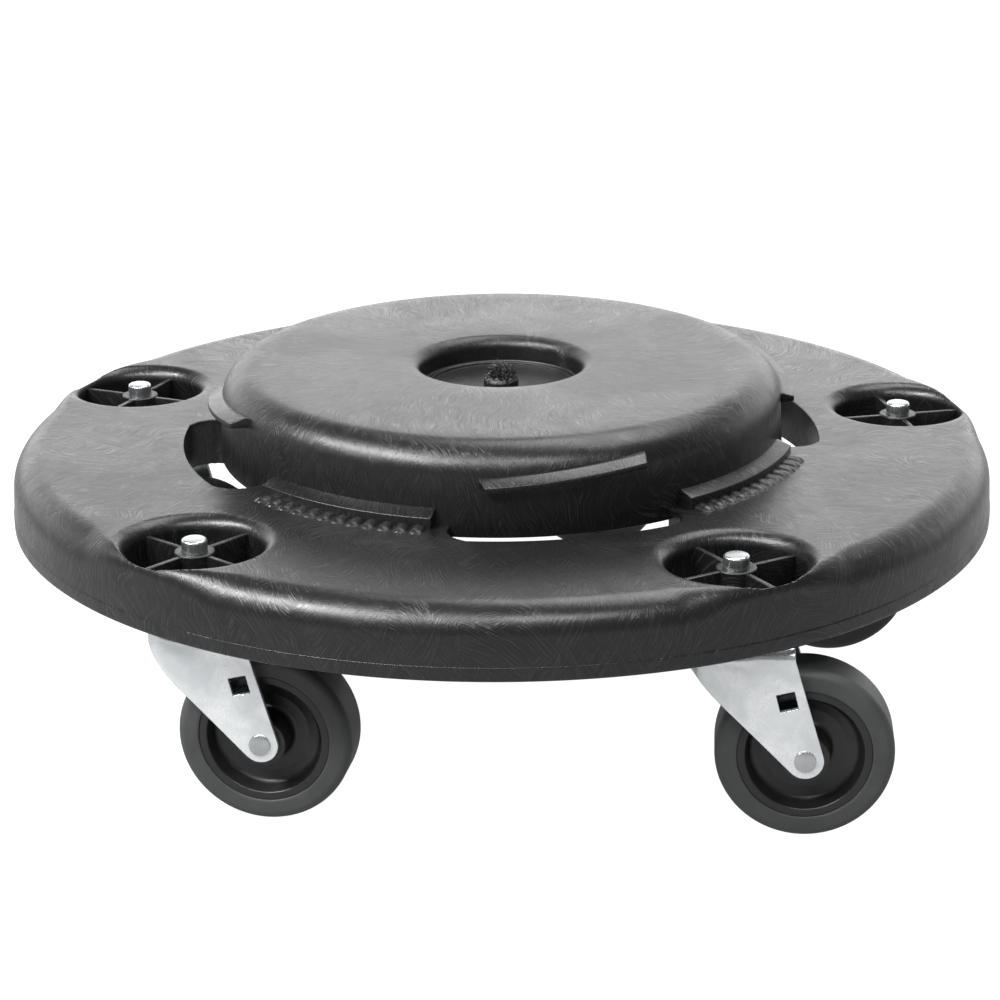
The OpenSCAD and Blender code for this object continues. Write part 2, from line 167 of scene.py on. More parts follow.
def polygon_distance(x, z, points):
    """Signed distance in the XZ plane to a closed polygon, negative inside."""
    best = np.full(x.shape, 1e9)
    sign = np.ones(x.shape)
    for (ax, az), (bx, bz) in zip(points, points[1:] + points[:1]):
        ex, ez = bx - ax, bz - az
        wx, wz = x - ax, z - az
        t = np.clip((wx * ex + wz * ez) / (ex * ex + ez * ez), 0, 1)
        best = np.minimum(best, np.hypot(wx - ex * t, wz - ez * t))
        c1, c2, c3 = z >= az, z < bz, ex * wz > ez * wx
        sign = np.where((c1 & c2 & c3) | (~c1 & ~c2 & ~c3), -sign, sign)
    return sign * best


FORK_HALF, SHEET_T, CROWN_R, LEG_BEND, LEG_END_R = 19.0, 2.3, 21.5, 5.5, 8.0
KINGPIN_HOLE_R = 4.56
WINDOW_X, WINDOW_UP, WINDOW_HALF, WINDOW_TILT = 22.2, 26.9, 3.9, 14


def touch(px, pz, side):
    """Direction from the axle to where a line from a point touches the leg's round end."""
    dx, dz = px - TRAIL, pz - AXLE_Z
    return math.atan2(dz, dx) + side * math.acos(LEG_END_R / math.hypot(dx, dz))


def fork_outline():
    """Side view of the fork: the round leg end, the sloping edges and the crown above them."""
    heel, bend = (-8.5, AXLE_Z + 28), (TRAIL - 5, AXLE_Z + 45)
    start, stop = touch(*heel, 1), touch(*bend, -1) + 2 * math.pi
    round_end = [(TRAIL + LEG_END_R * math.cos(a), AXLE_Z + LEG_END_R * math.sin(a))
                 for a in np.linspace(start, stop, 25)]
    back = -CROWN_R - 1
    return round_end + [bend, (TRAIL - 5.5, CROWN_TOP + 1), (back, CROWN_TOP + 1),
                        (back, AXLE_Z + 41.5), (-17, AXLE_Z + 37), heel]


FORK_OUTLINE = fork_outline()


def fork_field(p):
    """The stamped fork, with the stem on the Z axis and the wheel trailing to +X."""
    x, y, z = p[..., 0], p[..., 1], p[..., 2]
    disc = np.hypot(x, y) - CROWN_R
    flat = np.abs(y) - FORK_HALF
    plan = np.where(x > 0, flat, rmax(disc, flat, 3.0))
    dish = smooth(AXLE_Z + 38.5, AXLE_Z + 45.5, z)
    plan = (1 - dish) * plan + dish * np.minimum(plan, disc)
    skin = rmax(plan, z - CROWN_TOP, LEG_BEND)
    sheet = np.abs(skin + SHEET_T / 2) - SHEET_T / 2
    sheet = rmax(sheet, polygon_distance(x, z, FORK_OUTLINE), 0.35)
    c, s = math.cos(math.radians(WINDOW_TILT)), math.sin(math.radians(WINDOW_TILT))
    wx, wz = x - WINDOW_X, z - AXLE_Z - WINDOW_UP
    window = np.maximum(np.abs(c * wx + s * wz), np.abs(c * wz - s * wx)) - WINDOW_HALF
    sheet = rmax(sheet, -window, 0.3)
    return np.maximum(sheet, KINGPIN_HOLE_R - np.hypot(x, y))


# ---- meshes ----

def finish_mesh(mesh, sharp=40):
    """Smooth shading, with edges sharper than this many degrees kept."""
    mesh.validate()
    mesh.shade_smooth()
    mesh.set_sharp_from_angle(angle=math.radians(sharp))


def place(mesh, name, body, material, slot):
    """Makes the mesh an object with this material that rides on a body. The slot argument is not used."""
    obj = bpy.data.objects.new(name, mesh)
    bpy.context.scene.collection.objects.link(obj)
    mesh.materials.clear()
    mesh.materials.append(material)
    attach(obj, body)
    return obj


def gradient(field, p, h=0.02):
    """Unit normals of a field at points, by central differences."""
    g = np.empty_like(p)
    for i in range(3):
        d = np.zeros(3)
        d[i] = h
        g[:, i] = (field(p + d) - field(p - d)) / (2 * h)
    return g / np.maximum(np.linalg.norm(g, axis=1, keepdims=True), 1e-9)


def surface(field, axes, to_xyz, wrap=False):
    """Vertices in millimetres and quads of the surface field = 0, by surface nets on a grid.
    With wrap, the second axis is an angle that closes on itself."""
    grid = np.stack(np.meshgrid(*axes, indexing="ij"), -1)
    value = field(to_xyz(grid)).astype(np.float32)
    axes = [np.asarray(a, float) for a in axes]
    if wrap:
        value = np.concatenate([value, value[:, :1]], 1)
        axes[1] = np.append(axes[1], axes[1][0] + 2 * math.pi)
    inside = value < 0
    cells = tuple(n - 1 for n in value.shape)
    total, count = np.zeros(cells + (3,), np.float32), np.zeros(cells, np.float32)
    for d in range(3):
        lo = [slice(None)] * 3
        hi = [slice(None)] * 3
        lo[d], hi[d] = slice(0, -1), slice(1, None)
        cross = inside[tuple(lo)] != inside[tuple(hi)]
        ijk = np.argwhere(cross)
        v0, v1 = value[tuple(lo)][cross], value[tuple(hi)][cross]
        t = v0 / (v0 - v1)
        at = np.stack([axes[i][ijk[:, i]] for i in range(3)], 1)
        at[:, d] += t * (axes[d][ijk[:, d] + 1] - axes[d][ijk[:, d]])
        e1, e2 = (d + 1) % 3, (d + 2) % 3
        for s1 in (0, -1):
            for s2 in (0, -1):
                c = ijk.copy()
                c[:, e1] += s1
                c[:, e2] += s2
                ok = np.all((c >= 0) & (c < cells), axis=1)
                c, a = c[ok], at[ok]
                key = tuple(c.T)
                np.add.at(total, key, a)
                np.add.at(count, key, 1)
    used = count > 0
    index = np.full(cells, -1, np.int64)
    index[used] = np.arange(used.sum())
    points = to_xyz(total[used] / count[used][:, None])
    for _ in range(5):
        g = gradient(field, points)
        points = points - g * np.clip(field(points), -0.7, 0.7)[:, None]
    quads = []
    for d in range(3):
        e1, e2 = (d + 1) % 3, (d + 2) % 3
        lo = [slice(None)] * 3
        hi = [slice(None)] * 3
        lo[d], hi[d] = slice(0, -1), slice(1, None)
        if wrap and d != 1:
            lo[1] = hi[1] = slice(0, -1)
        a, b = inside[tuple(lo)], inside[tuple(hi)]
        ijk = np.argwhere(a != b)
        first_inside = a[a != b]
        ring = []
        for s1, s2 in ((-1, -1), (0, -1), (0, 0), (-1, 0)):
            c = ijk.copy()
            c[:, e1] += s1
            c[:, e2] += s2
            if wrap:
                c[:, 1] %= cells[1]
            ring.append(index[tuple(c.T)])
        ring = np.stack(ring, 1)
        ring[~first_inside] = ring[~first_inside][:, ::-1]
        quads.append(ring)
    return points, np.concatenate(quads)


def mesh_of(name, points, faces):
    mesh = bpy.data.meshes.new(name)
    mesh.from_pydata((np.asarray(points) * MM).tolist(), [], np.asarray(faces).tolist())
    return mesh


def true_normals(mesh, field):
    """Shades the mesh with the exact normals of the surface it was taken from."""
    points = np.empty(len(mesh.vertices) * 3)
    mesh.vertices.foreach_get("co", points)
    normals = gradient(field, points.reshape(-1, 3) / MM, 0.15)
    mesh.shade_smooth()
    mesh.normals_split_custom_set_from_vertices(normals.tolist())


def decimated(mesh, most):
    """The same mesh brought down to at most this many triangles."""
    obj = bpy.data.objects.new("work", mesh)
    bpy.context.scene.collection.objects.link(obj)
    mod = obj.modifiers.new("less", "DECIMATE")
    mod.ratio = min(1.0, most / (2 * len(mesh.polygons)))
    shown = obj.evaluated_get(bpy.context.evaluated_depsgraph_get())
    result = bpy.data.meshes.new_from_object(shown)
    bpy.data.objects.remove(obj)
    result.name = mesh.name
    return result


def fillet(points, steps=5):
    """A closed outline of (r, z, radius) corners with each corner rounded."""
    out = []
    n = len(points)
    for i, (px, py, rad) in enumerate(points):
        p = np.array([px, py])
        a = np.array(points[i - 1][:2]) - p
        b = np.array(points[(i + 1) % n][:2]) - p
        la, lb = np.linalg.norm(a), np.linalg.norm(b)
        if rad <= 0 or la < 1e-9 or lb < 1e-9:
            out.append(tuple(p))
            continue
        a, b = a / la, b / lb
        half = math.acos(np.clip(a @ b, -1, 1)) / 2
        if half > math.radians(88):
            out.append(tuple(p))
            continue
        reach = min(rad / math.tan(half), 0.49 * la if points[i - 1][2] > 0 else 0.98 * la,
                    0.49 * lb if points[(i + 1) % n][2] > 0 else 0.98 * lb)
        rad = reach * math.tan(half)
        mid = p + (a + b) / np.linalg.norm(a + b) * rad / math.sin(half)
        start, stop = p + a * reach - mid, p + b * reach - mid
        a0, a1 = math.atan2(start[1], start[0]), math.atan2(stop[1], stop[0])
        turn = (a1 - a0 + math.pi) % (2 * math.pi) - math.pi
        for s in range(steps + 1):
            t = a0 + turn * s / steps
            out.append((mid[0] + rad * math.cos(t), mid[1] + rad * math.sin(t)))
    return out


def lathe(name, outline, segments=128):
    """Revolves a closed outline of (r, z) points about Z. Points at r = 0 become poles."""
    verts, rings, faces = [], [], []
    angles = np.linspace(0, 2 * math.pi, segments, endpoint=False)
    for r, z in outline:
        if abs(r) < 1e-6:
            rings.append([len(verts)])
            verts.append((0, 0, z))
        else:
            rings.append(list(range(len(verts), len(verts) + segments)))
            verts += [(r * math.cos(a), r * math.sin(a), z) for a in angles]
    for a, b in zip(rings, rings[1:] + rings[:1]):
        if len(a) == 1 and len(b) == 1:
            continue
        for i in range(segments):
            j = (i + 1) % segments
            face = []
            for v in (a[i % len(a)], a[j % len(a)], b[j % len(b)], b[i % len(b)]):
                if v not in face:
                    face.append(v)
            faces.append(face)
    mesh = bpy.data.meshes.new(name)
    mesh.from_pydata([tuple(c * MM for c in v) for v in verts], [], faces)
    bm = bmesh.new()
    bm.from_mesh(mesh)
    bmesh.ops.recalc_face_normals(bm, faces=bm.faces)
    bm.to_mesh(mesh)
    bm.free()
    finish_mesh(mesh, 35)
    return mesh


def add_bevelled(bm, part, matrix, bevel, segments):
    """Bevels the sharp edges of part, and adds it to bm."""
    bmesh.ops.recalc_face_normals(part, faces=part.faces)
    sharp = [e for e in part.edges if e.calc_face_angle(0) > math.radians(12)]
    bmesh.ops.bevel(part, geom=sharp, offset=bevel, segments=segments, profile=0.5,
                    affect="EDGES", clamp_overlap=True)
    bmesh.ops.triangulate(part, faces=[f for f in part.faces if len(f.verts) > 4])
    part.transform(matrix)
    temp = bpy.data.meshes.new("part")
    part.to_mesh(temp)
    part.free()
    bm.from_mesh(temp)
    bpy.data.meshes.remove(temp)


def prism(bm, outline, z0, z1, matrix, bevel):
    """Adds a straight prism of a closed outline to bm, with its sharp edges bevelled."""
    part = bmesh.new()
    below = [part.verts.new((x, y, z0)) for x, y in outline]
    above = [part.verts.new((x, y, z1)) for x, y in outline]
    part.faces.new(below[::-1])
    part.faces.new(above)
    n = len(outline)
    for i in range(n):
        j = (i + 1) % n
        part.faces.new((below[i], below[j], above[j], above[i]))
    add_bevelled(bm, part, matrix, bevel, 2)


def mesh_from(bm, name, sharp=40):
    """A mesh in metres from a bmesh in millimetres."""
    bmesh.ops.scale(bm, vec=(MM, MM, MM), verts=bm.verts)
    mesh = bpy.data.meshes.new(name)
    bm.to_mesh(mesh)
    bm.free()
    finish_mesh(mesh, sharp)
    return mesh


def turn_z(degrees):
    return Matrix.Rotation(math.radians(degrees), 4, "Z")


# ---- materials ----

class Shader:
    """A small hand for building one material's nodes."""

    def __init__(self, name, **sockets):
        self.mat = bpy.data.materials.new(name)
        self.mat.use_nodes = True
        self.tree = self.mat.node_tree
        self.main = self.tree.nodes["Principled BSDF"]
        for key, value in sockets.items():
            self.main.inputs[key.replace("_", " ")].default_value = value

    def add(self, kind, inputs=None, **props):
        node = self.tree.nodes.new(kind)
        for key, value in props.items():
            setattr(node, key, value)
        for key, value in (inputs or {}).items():
            if isinstance(value, bpy.types.NodeSocket):
                self.tree.links.new(value, node.inputs[key])
            else:
                node.inputs[key].default_value = value
        return node

    def coords(self):
        return self.add("ShaderNodeTexCoord").outputs["Object"]

    def math(self, op, a, b=0.0, clamp=False):
        return self.add("ShaderNodeMath", {0: a, 1: b}, operation=op, use_clamp=clamp).outputs[0]

    def vector(self, op, a, b=(0, 0, 0)):
        key = "Scale" if op == "SCALE" else 1
        node = self.add("ShaderNodeVectorMath", {0: a, key: b}, operation=op)
        return node.outputs["Value" if op in ("LENGTH", "DOT_PRODUCT") else 0]

    def noise(self, vector, scale, detail=2.0, rough=0.5, distort=0.0, colour=False):
        node = self.add("ShaderNodeTexNoise", {"Vector": vector, "Scale": scale, "Detail": detail,
                                               "Roughness": rough, "Distortion": distort})
        return node.outputs["Color" if colour else 0]

    def span(self, value, lo, hi, to_lo, to_hi, smooth_step=False):
        node = self.add("ShaderNodeMapRange", {"Value": value, "From Min": lo, "From Max": hi,
                                               "To Min": to_lo, "To Max": to_hi}, clamp=True)
        if smooth_step:
            node.interpolation_type = "SMOOTHSTEP"
        return node.outputs[0]

    def mix(self, factor, a, b):
        node = self.add("ShaderNodeMix", {0: factor, 6: a, 7: b}, data_type="RGBA")
        return node.outputs[2]

    def bump(self, height, strength, distance, under=None):
        inputs = {"Height": height, "Strength": strength, "Distance": distance}
        if under is not None:
            inputs["Normal"] = under
        return self.add("ShaderNodeBump", inputs).outputs[0]

    def link(self, socket, value):
        self.tree.links.new(value, self.main.inputs[socket])


def deck_plastic():
    """Charcoal structural foam: hair-like flow streaks, slanting both ways, over cloudy patches."""
    s = Shader("deck_plastic", IOR=1.5)
    p = s.coords()
    swirl = s.vector("SUBTRACT", s.noise(p, 13.0, 2.0, 0.5, colour=True), (0.5, 0.5, 0.5))
    curl = s.vector("SUBTRACT", s.noise(p, 70.0, 1.0, 0.5, colour=True), (0.5, 0.5, 0.5))
    drift = s.vector("ADD", s.vector("SCALE", swirl, 0.05), s.vector("SCALE", curl, 0.003))
    bent = s.vector("ADD", p, drift)
    flat = s.vector("MULTIPLY", bent, (1, 1, 0))
    around = s.vector("NORMALIZE", flat)
    z = s.add("ShaderNodeSeparateXYZ", {0: bent}).outputs[2]
    run = s.math("SUBTRACT", s.vector("LENGTH", flat), z)

    def strands(slant, width, length):
        """Streaks that run outward and down, slanting by so many radians per metre."""
        angle = s.math("MULTIPLY", run, slant)
        turned = s.add("ShaderNodeVectorRotate", {"Vector": around, "Angle": angle},
                       rotation_type="Z_AXIS").outputs[0]
        far = s.add("ShaderNodeCombineXYZ", {2: s.math("DIVIDE", run, length)}).outputs[0]
        return s.noise(s.vector("ADD", s.vector("SCALE", turned, 0.17 / width), far), 1.0, 2.0, 0.6)

    one, two = strands(2.4, 0.0004, 0.009), strands(-3.6, 0.00045, 0.011)
    patch = s.span(s.noise(p, 42.0, 3.0, 0.6, 1.0), 0.42, 0.58, 0.0, 1.0)
    fibre = s.math("ADD", s.math("MULTIPLY", one, patch),
                   s.math("MULTIPLY", two, s.math("SUBTRACT", 1.0, patch)))
    height = s.span(fibre, 0.36, 0.66, 0.0, 1.0)
    ridge = s.span(fibre, 0.51, 0.66, 0.0, 1.0)
    clouds = s.noise(s.vector("MULTIPLY", bent, (1, 1, 1.5)), 19.0, 4.0, 0.62, 0.8)
    cloud = s.span(clouds, 0.36, 0.66, 0.0, 1.0, True)
    grain = s.noise(p, 2600.0, 2.0, 0.6)

    tone = s.math("ADD", s.math("MULTIPLY", cloud, 0.45), s.math("MULTIPLY", height, 0.55))
    resin = s.mix(tone, (0.0005, 0.0005, 0.0005, 1), (0.0058, 0.0059, 0.0061, 1))
    s.link("Base Color", s.mix(s.math("MULTIPLY", ridge, 0.8), resin, (0.019, 0.019, 0.0193, 1)))
    rough = s.math("ADD", s.span(cloud, 0, 1, 0.31, 0.26), s.span(height, 0, 1, 0.12, -0.07))
    s.link("Roughness", rough)
    fine = s.bump(grain, 0.03, 0.0001)
    wave = s.bump(s.noise(p, 60.0, 2.0, 0.55, 0.5), 0.12, 0.0008, fine)
    s.link("Normal", s.bump(ridge, 1.0, 0.00003, wave))
    return s.mat


def zinc_plate(name, dark, light, rough, metal):
    """Bright zinc on drawn steel: blotchy passivation and faint rolling marks."""
    s = Shader(name, Metallic=metal)
    p = s.coords()
    blotch = s.noise(p, 55.0, 4.0, 0.6, 0.6)
    rolled = s.noise(s.add("ShaderNodeMapping", {0: p, "Rotation": (0.1, 0.25, 0.4),
                                                 "Scale": (900.0, 90.0, 140.0)}).outputs[0], 1.0, 3.0, 0.6)
    fine = s.noise(p, 3200.0, 2.0, 0.6)
    s.link("Base Color", s.mix(s.span(blotch, 0.35, 0.65, 0, 1),
                               (dark * 0.96, dark, dark * 1.02, 1), (light * 0.98, light, light * 1.01, 1)))
    s.link("Roughness", s.math("ADD", s.span(blotch, 0.3, 0.7, rough, rough + 0.1),
                               s.span(rolled, 0.3, 0.7, -0.03, 0.04)))
    first = s.bump(fine, 0.1, 0.00006)
    s.link("Normal", s.bump(rolled, 0.12, 0.0001, first))
    return s.mat


def oiled_steel(name, base, rough):
    """Plain steel under a patchy film of oil."""
    s = Shader(name, Metallic=1.0)
    p = s.coords()
    film = s.noise(p, 300.0, 3.0, 0.6)
    s.link("Base Color", s.mix(s.span(film, 0.35, 0.65, 0, 1), tuple(c * 0.75 for c in base) + (1,),
                               base + (1,)))
    s.link("Roughness", s.span(film, 0.3, 0.7, rough - 0.06, rough + 0.08))
    s.link("Normal", s.bump(s.noise(p, 2500.0, 2.0), 0.08, 0.00005))
    return s.mat


def core_plastic():
    """Black glass-filled moulding of the wheel's middle."""
    s = Shader("core_plastic", IOR=1.5)
    p = s.coords()
    flow = s.noise(s.vector("MULTIPLY", p, (260.0, 700.0, 260.0)), 1.0, 3.0, 0.6)
    cloud = s.noise(p, 90.0, 3.0, 0.6)
    s.link("Base Color", s.mix(cloud, (0.004, 0.004, 0.0043, 1), (0.012, 0.012, 0.0125, 1)))
    s.link("Roughness", s.span(flow, 0.3, 0.7, 0.3, 0.46))
    fine = s.bump(s.noise(p, 3000.0, 2.0), 0.12, 0.00008)
    s.link("Normal", s.bump(flow, 0.18, 0.00012, fine))
    return s.mat


def grey_rubber():
    """Satin grey thermoplastic rubber, with a little dust and fine moulding grain."""
    s = Shader("grey_rubber", IOR=1.5)
    p = s.coords()
    dust = s.noise(p, 70.0, 4.0, 0.6, 0.4)
    speck = s.noise(p, 1500.0, 2.0, 0.6)
    tone = s.math("ADD", s.math("MULTIPLY", dust, 0.7), s.math("MULTIPLY", speck, 0.3))
    s.link("Base Color", s.mix(s.span(tone, 0.35, 0.65, 0, 1), (0.027, 0.0285, 0.028, 1),
                               (0.04, 0.042, 0.041, 1)))
    s.link("Roughness", s.span(dust, 0.3, 0.7, 0.46, 0.6))
    fine = s.bump(s.noise(p, 2400.0, 3.0, 0.6), 0.16, 0.0001)
    s.link("Normal", s.bump(dust, 0.1, 0.0006, fine))
    return s.mat


PLASTIC = deck_plastic()
ZINC = zinc_plate("zinc_plate", 0.64, 0.84, 0.19, 0.75)
# The stems and axle rivets share the fork's zinc plating but take this darker copy. It is painted shade: it
# keeps the stem tops, which face the bright backdrop, below white, and sets the rivet heads apart from the
# fork plate.
SHADED_PIN_ZINC = zinc_plate("shaded_pin_zinc", 0.42, 0.54, 0.22, 0.95)
SPRING = oiled_steel("spring_steel", (0.42, 0.43, 0.45), 0.34)
BALL = oiled_steel("ball_steel", (0.56, 0.57, 0.59), 0.2)
CORE = core_plastic()
RUBBER = grey_rubber()

# ---- the moulded platform ----


def polar(p):
    """Grid coordinates (radius, angle, height) to x, y, z."""
    return np.stack([p[..., 0] * np.cos(p[..., 1]), p[..., 0] * np.sin(p[..., 1]), p[..., 2]], -1)


def spaced(stops):
    """Values from the first stop to the last, at the spacing that each stop gives."""
    out = [stops[0][0]]
    for (a, step), (b, _) in zip(stops, stops[1:]):
        n = max(1, round((b - a) / step))
        out += [a + (b - a) * i / n for i in range(1, n + 1)]
    return np.array(out)


def deck_shell():
    radii = spaced([(125.5, 1.2), (136, 0.8), (153, 1.8), (212, 1.2), (DECK_R + 1.5, 0)])
    quarter = spaced([(0, 0.6), (19.5, 0.3), (70.5, 0.6), (90, 0)])[:-1]
    angles = np.radians(np.concatenate([quarter + 90 * q for q in range(4)]))
    heights = spaced([(RIM_Z - 1.8, 1.0), (RIM_Z + 2.2, 1.8), (PARTING_Z - 1.2, 0.5),
                      (PARTING_Z + 1.3, 1.8), (PLATE_Z - 3, 0.9), (DECK_TOP, 0.7), (DECK_TOP + 3.5, 0)])
    points, quads = surface(deck_field, [radii, angles, heights], polar, wrap=True)
    mesh = decimated(mesh_of("deck_shell", points, quads), 188000)
    true_normals(mesh, deck_field)
    return mesh


def hub_outline():
    """Half section of the hub with its recess cup and gate boss, as (r, z, rounding)."""
    bed = RECESS_Z
    cup_low = bed - HUB_T
    inner_top = HUB_TOP - HUB_T
    return [
        (HUB_R - HUB_T, HUB_FOOT, 0.5), (HUB_R, HUB_FOOT, 0.5),
        (HUB_TOP_R, HUB_TOP, HUB_ROUND), (RECESS_R, HUB_TOP, RECESS_ROUND + 1.5), (RECESS_R, bed, 1.2),
        (RECESS_R - 3, bed, 0.3), (RECESS_R - 3.2, bed + 1.2, 0.5), (RECESS_R - 4.4, bed + 1.2, 0.5),
        (RECESS_R - 4.6, bed, 0.3), (7.0, bed, 0), (0, bed, 0),
        (0, cup_low - 6, 0), (6.8, cup_low - 6, 0.6), (10.2, cup_low, 2.0),
        (RECESS_R + HUB_T, cup_low, 1.5),
        (RECESS_R + HUB_T, inner_top, 2.5), (HUB_TOP_R - HUB_T, inner_top, HUB_ROUND - HUB_T),
    ]


def dense(outline, step):
    """Splits long straight stretches, so that a revolved skin has even faces."""
    out = []
    for (ax, az), (bx, bz) in zip(outline, outline[1:] + outline[:1]):
        n = max(1, int(math.hypot(bx - ax, bz - az) / step))
        out += [(ax + (bx - ax) * i / n, az + (bz - az) * i / n) for i in range(n)]
    return out


def hub_shell():
    return lathe("hub_shell", dense(fillet(hub_outline(), 10), 7), 288)


def hub_ribs():
    """Eight ribs under the hub's top, from the recess cup out to the wall."""
    bm = bmesh.new()
    foot, top = DECK_TOP + 14, HUB_TOP - HUB_T + 1
    wall = HUB_TOP_R - HUB_T + 1
    outline = fillet([(RECESS_R + 1, foot, 0), (wall, foot, 0), (wall, top, 10), (RECESS_R + 1, top, 0)], 8)
    upright = Matrix.Rotation(math.radians(90), 4, "X")
    for i in range(8):
        prism(bm, outline, -INNER_RIB_HALF, INNER_RIB_HALF, turn_z(22.5 + 45 * i) @ upright, 0.4)
    return mesh_from(bm, "hub_ribs")


def under_ribs():
    """The ribs under the deck, between the slots' walls and the rim or a well."""
    bm = bmesh.new()
    inner, outer = SLOT_R + SLOT_WALL_T - 1, SIDE_R - RIM_T + 1
    foot, top = DECK_TOP - 20, PLATE_Z + 1
    full = fillet([(inner, foot, 0), (outer, foot, 0), (outer, top, 7), (inner, top, 0)], 8)
    short_end = CASTER_CIRCLE_R - WELL_R - 1
    short = [(inner, foot), (short_end, foot), (short_end, top), (inner, top)]
    upright = Matrix.Rotation(math.radians(90), 4, "X")
    for k in range(CASTERS):
        for turn, outline in ((-21, full), (21, full), (36, full), (0, short)):
            prism(bm, outline, -INNER_RIB_HALF, INNER_RIB_HALF, turn_z(SECTOR * k + turn) @ upright, 0.4)
    return mesh_from(bm, "under_ribs")


def swept(bm, section, half_in, half_out, matrix, bevel=0.5, steps=44):
    """Adds a closed (r, z) section swept about Z, its ends tapering from the inner to the outer radius."""
    part = bmesh.new()
    r_in, r_out = min(r for r, _ in section), max(r for r, _ in section)
    rows = []
    for i in range(steps + 1):
        row = []
        for r, z in section:
            half = half_in + (half_out - half_in) * (r - r_in) / (r_out - r_in)
            a = math.radians(half) * (2 * i / steps - 1)
            row.append(part.verts.new((r * math.cos(a), r * math.sin(a), z)))
        rows.append(row)
    n = len(section)
    for a, b in zip(rows, rows[1:]):
        for i in range(n):
            j = (i + 1) % n
            part.faces.new((a[i], a[j], b[j], b[i]))
    part.faces.new(rows[0])
    part.faces.new(rows[-1][::-1])
    add_bevelled(bm, part, matrix, bevel, 3)


def low_ledge(q):
    """A locking ledge between two slots, with a small step at its foot at each end."""
    bm = bmesh.new()
    inner, wall, top = HUB_R - HUB_T + 1.5, HUB_R - 0.4, DECK_TOP + LEDGE_H
    section = [(inner, PLATE_Z), (LEDGE_R, PLATE_Z), (LEDGE_R, top - LEDGE_FALL), (wall, top), (inner, top)]
    place_at = turn_z((q + 0.5) * 90 + (LEDGE_SHIFT if q % 2 == 0 else -LEDGE_SHIFT))
    swept(bm, section, LEDGE_HALF + 0.3, LEDGE_HALF - 0.1, place_at, 0.35)
    return mesh_from(bm, f"low_ledge_{q + 1}")


def ramped_ledge(q):
    """A ledge over a slot that climbs along the hub's wall, with tapering ends."""
    bm = bmesh.new()
    inner, wall = HUB_R - HUB_T - 1, HUB_R - 0.4
    foot = -RAMP_T - LEDGE_FALL / 2
    section = [(inner, foot), (RAMP_R, foot), (RAMP_R, -LEDGE_FALL), (wall, 0), (inner, 0)]
    climb = Matrix.Rotation(math.radians(RAMP_SLOPE), 4, "X")
    swept(bm, section, RAMP_HALF + 2.2, RAMP_HALF,
          turn_z(90 * q) @ Matrix.Translation((0, 0, RAMP_Z)) @ climb, 0.4)
    return mesh_from(bm, f"ramped_ledge_{q + 1}")


def well_cross(k):
    """The boss that holds one stem, and the four ribs that hold the boss."""
    bm = bmesh.new()
    boss_z = BOSS_TOP - BOSS_LENGTH
    rib_z, rib_top, reach, half = boss_z + 4, BOSS_TOP - 0.5, WELL_R + 1.2, WELL_RIB_T / 2
    bore = 5.6
    for a in (0, 90, 180, 270):
        outline = [(bore + 0.8, -half), (reach, -half), (reach, half), (bore + 0.8, half)]
        prism(bm, outline, rib_z, rib_top, turn_z(a), 0.35)
    ribs = mesh_from(bm, "ribs")
    boss = lathe("boss", fillet([(bore, boss_z, 0.2), (BOSS_D / 2 + 0.2, boss_z, 0.8),
                                 (BOSS_D / 2, BOSS_TOP, 0.7), (bore, BOSS_TOP, 0.25)]), 64)
    bm = bmesh.new()
    bm.from_mesh(ribs)
    bm.from_mesh(boss)
    at = Matrix.Translation(Vector((*WELLS[k] * MM, 0))) @ turn_z(SECTOR * k)
    bm.transform(at)
    mesh = bpy.data.meshes.new(f"well_cross_{k + 1}")
    bm.to_mesh(mesh)
    bm.free()
    finish_mesh(mesh, 35)
    return mesh


def gate_stub():
    """The rough torn stub left where the plastic was fed in."""
    base, top = RECESS_Z - 1, HUB_TOP - 1.2
    dome = [(8.1 * math.cos(a), top - 5 + 5.6 * math.sin(a)) for a in np.linspace(0.1, 1.5, 14)]
    outline = [(8.3, base), (8.1, top - 5)] + dome + [(0, top + 0.6), (0, base)]
    mesh = lathe("gate_stub", dense(outline, 0.35), 150)
    for v in mesh.vertices:
        p = v.co / MM
        rise = max(0.0, min(1.0, (p.z - base - 3.5) / 3))
        lumps = noise.voronoi(p * 0.62)[0]
        crumbs = noise.voronoi(p * 1.5)[0]
        rough = 0.9 * (lumps[1] - lumps[0]) + 0.45 * (crumbs[1] - crumbs[0]) - 0.85
        middle = Vector((0, 0, top - 7))
        away = (p - middle).normalized() if p.z > base + 1 else Vector((0, 0, 0))
        p += away * rough * (0.15 + 0.85 * rise) * 2.8
        p.z = min(p.z, HUB_TOP - 0.1)
        v.co = p * MM
    finish_mesh(mesh, 25)
    return mesh


def thread(bm, start, stop, bow, radius, steps=10):
    """One hair-thin strand, bowed between two points."""
    start, stop, bow = Vector(start), Vector(stop), Vector(bow)
    rows = []
    for i in range(steps + 1):
        t = i / steps
        c = start.lerp(stop, t) + bow * math.sin(math.pi * t)
        r = radius * (1 - 0.75 * t)
        rows.append([bm.verts.new(c + Vector((r * math.cos(a), r * math.sin(a), 0.4 * r * math.sin(2 * a))))
                     for a in np.linspace(0, 2 * math.pi, 6, endpoint=False)])
    for a, b in zip(rows, rows[1:]):
        for i in range(6):
            j = (i + 1) % 6
            bm.faces.new((a[i], a[j], b[j], b[i]))
    bm.faces.new(rows[0][::-1])
    bm.faces.new(rows[-1])


